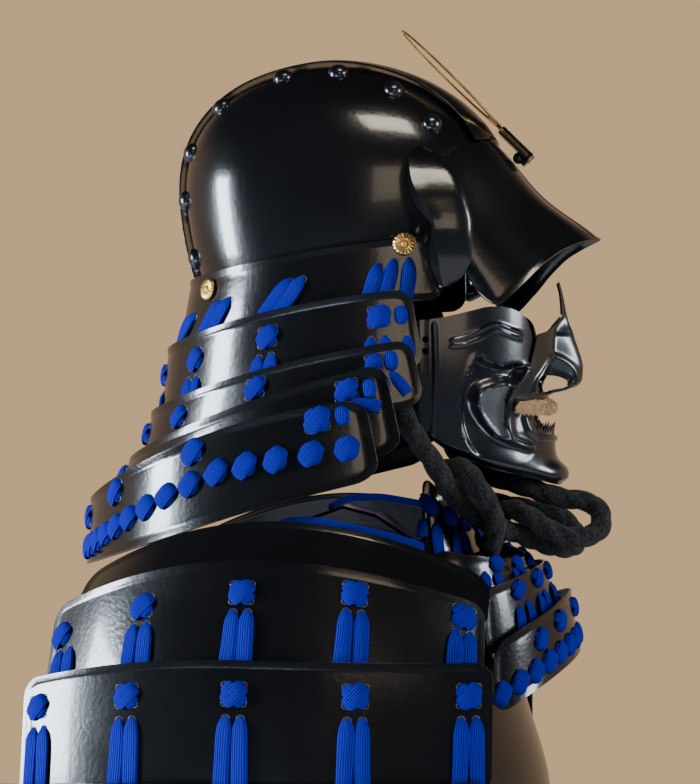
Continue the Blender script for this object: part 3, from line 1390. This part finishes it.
# ---------------- tassets
TASSET = {"count": 6, "gap": 8, "top": -418, "bottom": -700, "lames": 5, "step": 4, "lift": 6}
SKIRT = [
    # z, half width, front y, back y
    (-700, 190, -212, 104),
    (-418, 160, -183, 77),
]
TASSET_COLUMNS = [0.16, 0.5, 0.84]
STEP_GAP = 0.0015    # half of the share of a tasset's height in which it steps out to the next lame


def tasset_surface(number, row=None):
    """The stepped lames of a tasset, or the smooth surface that one row of them lies on."""
    sector = 360 / TASSET["count"]
    middle, reach = sector * (number + 0.5), (sector - TASSET["gap"]) / 2

    def surface(u, v):
        step = np.clip(np.floor(v * TASSET["lames"]), 0, TASSET["lames"] - 1) if row is None else row
        angle = mix(middle - reach, middle + reach, u)
        z = mix(TASSET["top"], TASSET["bottom"], v)
        return trunk_point(SKIRT, angle, z, TASSET["lift"] + TASSET["step"] * step)

    return surface


def build_tassets():
    lames = TASSET["lames"]
    cuts = []
    for k in range(lames):
        top = k / lames + (STEP_GAP if k else 0)
        bottom = (k + 1) / lames - (STEP_GAP if k < lames - 1 else 0)
        cuts += list(np.linspace(top, bottom, 9))
    for k in range(TASSET["count"]):
        sheet(f"tasset_{k + 1}", tasset_surface(k), steps(30), np.array(cuts), LACQUER)
        pile = Pile()
        for row in range(lames):
            plain = tasset_surface(k, row)
            for u in TASSET_COLUMNS:
                knot(pile, plain, u, (row + 0.28) / lames, (18, 16), rows=7, fine=8)
                if row < lames - 1:
                    pair(pile, plain, (u, (row + 0.52) / lames), (u, (row + 0.99) / lames), rows=6, fine=10)
        pile_object(f"tasset_{k + 1}_silk", pile, BRAID)


# ---------------- shoulder guards
SODE_CAP = [(178, 8, 40, 48, 50, 165, 8), (224, -30, 42, 42, 46, 168, 10)]
SODE_ROWS = [
    # out, z, inset, drop before, drop behind, half width, middleY : top row, then bottom row
    [(230, -17, 42, 36, 45, 171, 13), (262, -98, 45, 12, 32, 171, 13)],
    [(265, -86, 45, 4, 28, 182, 16), (280, -182, 47, 2, 24, 182, 16)],
    [(285, -173, 47, 0, 20, 185, 17), (291, -268, 47, 0, 20, 185, 17)],
    [(297, -259, 47, 0, 20, 187, 18), (301, -345, 47, 0, 20, 187, 18)],
]
# Each column's u and the v of its knot, and the gap down to the pair of braids below it.
SODE_FIRST = {"columns": [(0.03, 0.36), (0.245, 0.32), (0.48, 0.28), (0.725, 0.21), (0.955, 0.21)],
              "gap": 0.15}
SODE_OTHER = {"columns": [(u, 0.25) for u in (0.04, 0.26, 0.493, 0.735, 0.954)], "gap": 0.16}


def sode_row(row, s):
    out, z, inset, drop_fore, drop_rear, half_width, middle_y = row
    drop = np.where(s > 0, drop_fore, drop_rear)
    return vec(-(out - inset * s * s), middle_y - half_width * s, z - drop * s * s)


def sode_surface(rows):
    top, bottom = rows
    return lambda u, v: mix(sode_row(top, 2 * u - 1), sode_row(bottom, 2 * u - 1), v[..., None])


HANGER = {"width": 7, "thick": 2.4, "drop": 1.0}
HANGER_PATH = [
    # x, y, z of the middle of the braid
    (-121, 22, -1), (-140, 6, 6), (-153, -20, 7.4), (-159, -44, 4), (-159, -66, 0), (-155, -88, -5.6),
    (-146, -105, -12),
]


def build_shoulder_guards():
    lame_sheet("sode_right_plate", sode_surface(SODE_CAP), 90, 14, mirror=True, lift=0.8)
    for k, rows in enumerate(SODE_ROWS):
        lame_sheet(f"sode_right_lame_{k + 1}", sode_surface(rows), 90, 16, mirror=True, lift=0.5)
    lips = Pile()
    for k in range(3):
        pile = Pile()
        for row in (0, 1) if k == 0 else (k + 1,):
            plan = SODE_OTHER if row else SODE_FIRST
            for u, v in plan["columns"]:
                knot(pile, sode_surface(SODE_ROWS[row]), u, v)
                knot_lips(lips, sode_surface(SODE_ROWS[row]), u, v, KNOT_SIZE)
        plan = SODE_OTHER if k else SODE_FIRST
        surface = sode_surface(SODE_ROWS[k])
        for u, v in plan["columns"]:
            at = min(max(u, 0.045), 0.955)
            pair(pile, surface, (at, v + plan["gap"]), (at, 0.975))
            pair_lips(lips, surface, at, v + plan["gap"])
        silk(f"sode_right_lacing_{k + 1}", pile)
        silk(f"sode_left_lacing_{k + 1}", pile.mirrored())
    pile_object("sode_hole_lips", lips.both(), LIP)
    path, run = smooth_path(HANGER_PATH, 4)
    x, height = braid_section(20)
    out = unit(np.cross(unit(np.gradient(path, axis=0)), [0, 0, 1.0]))
    out = out * np.where(out[:, :1] < 0, 1, -1)
    points = (path[:, None] - [0, 0, HANGER["drop"]]
              + np.array([0, 0, HANGER["width"] / 2]) * x[None, :, None]
              + out[:, None] * ((height - 0.5) * HANGER["thick"])[None, :, None])
    uv = np.stack(np.broadcast_arrays((x[None] + 1) * BRAID_WIDTH / 2, run[:, None]), axis=-1)
    for side, points, uv in (("right", points, uv), ("left", flipped(points)[:, ::-1], uv[:, ::-1])):
        silk(f"sode_{side}_hanger", Pile().tube(points, uv))


# ---------------- studio
def add_softbox(name, place, aim, size, power, colour):
    data = bpy.data.lights.new(name, "AREA")
    data.shape = "RECTANGLE"
    data.size, data.size_y = size
    data.energy = power
    data.color = colour
    stand_in_scene(data, place, Vector(aim) - Vector(place)).visible_camera = False


SOFTBOXES = [
    # name, place, aim, size, power, colour
    ("window_behind", (-1.0, 2.3, 0.2), (0, 0, 0.1), (0.55, 1.1), 115, (0.76, 0.86, 1.0)),
    ("window_before", (-0.7, -2.3, 0.75), (0, -0.1, 0.1), (0.5, 0.9), 36, (0.82, 0.90, 1.0)),
    ("low_window", (-1.35, 0.30, -0.64), (-0.08, -0.15, 0.1), (0.9, 0.45), 9, (0.66, 0.80, 1.0)),
    ("high_card", (-1.2, -0.7, 2.1), (0, 0, 0.2), (0.9, 0.5), 20, (1.0, 0.88, 0.74)),
    ("warm_card", (-2.1, -0.85, 0.62), (0, 0, 0.1), (0.8, 0.7), 4, (1.0, 0.80, 0.60)),
]


def add_world():
    """Cloth-coloured walls beyond the armour, a dark ceiling and a dim cool room by the camera."""
    world = bpy.data.worlds.new("studio")
    bpy.context.scene.world = world
    wiring = Wiring(world, "Background")
    parts = wiring.node("SeparateXYZ", (wiring.node("TexCoord").outputs["Generated"],))

    def ramp(axis, start, end):
        return wiring.ranged(parts.outputs[axis], start, end, 0, 1, interpolation_type="SMOOTHSTEP")

    ceiling = (0.012, 0.012, 0.013)
    room = wiring.mixed(ramp("Z", 0.15, -0.25), ceiling, (0.075, 0.095, 0.125))
    wall = wiring.mixed(ramp("Z", 0.65, 0.25), ceiling, (0.42, 0.29, 0.18))
    surroundings = wiring.mixed(ramp("X", -0.42, 0.15), room, wall)
    camera_ray = wiring.node("LightPath").outputs["Is Camera Ray"]
    wiring.feed(wiring.shader, Color=wiring.mixed(camera_ray, surroundings, (0.66, 0.43, 0.23)))


FLOOR_SIZE = 3.4     # metres
FLOOR_Z = -0.7015    # metres: just under the tassets


def add_floor():
    bpy.ops.mesh.primitive_plane_add(size=FLOOR_SIZE, location=(0, 0, FLOOR_Z))
    floor = bpy.context.object
    floor.name = "floor"
    floor.data.materials.append(PALE)


build_rope()
build_bowl()
build_peak()
build_crest()
build_crest_holder()
build_neck_guard()
build_rosettes()
build_turn_backs()
build_mask()
build_teeth()
build_moustache()
build_throat_guard()
build_cuirass()
build_tassets()
build_shoulder_guards()
add_world()
add_floor()
for box in SOFTBOXES:
    add_softbox(*box)
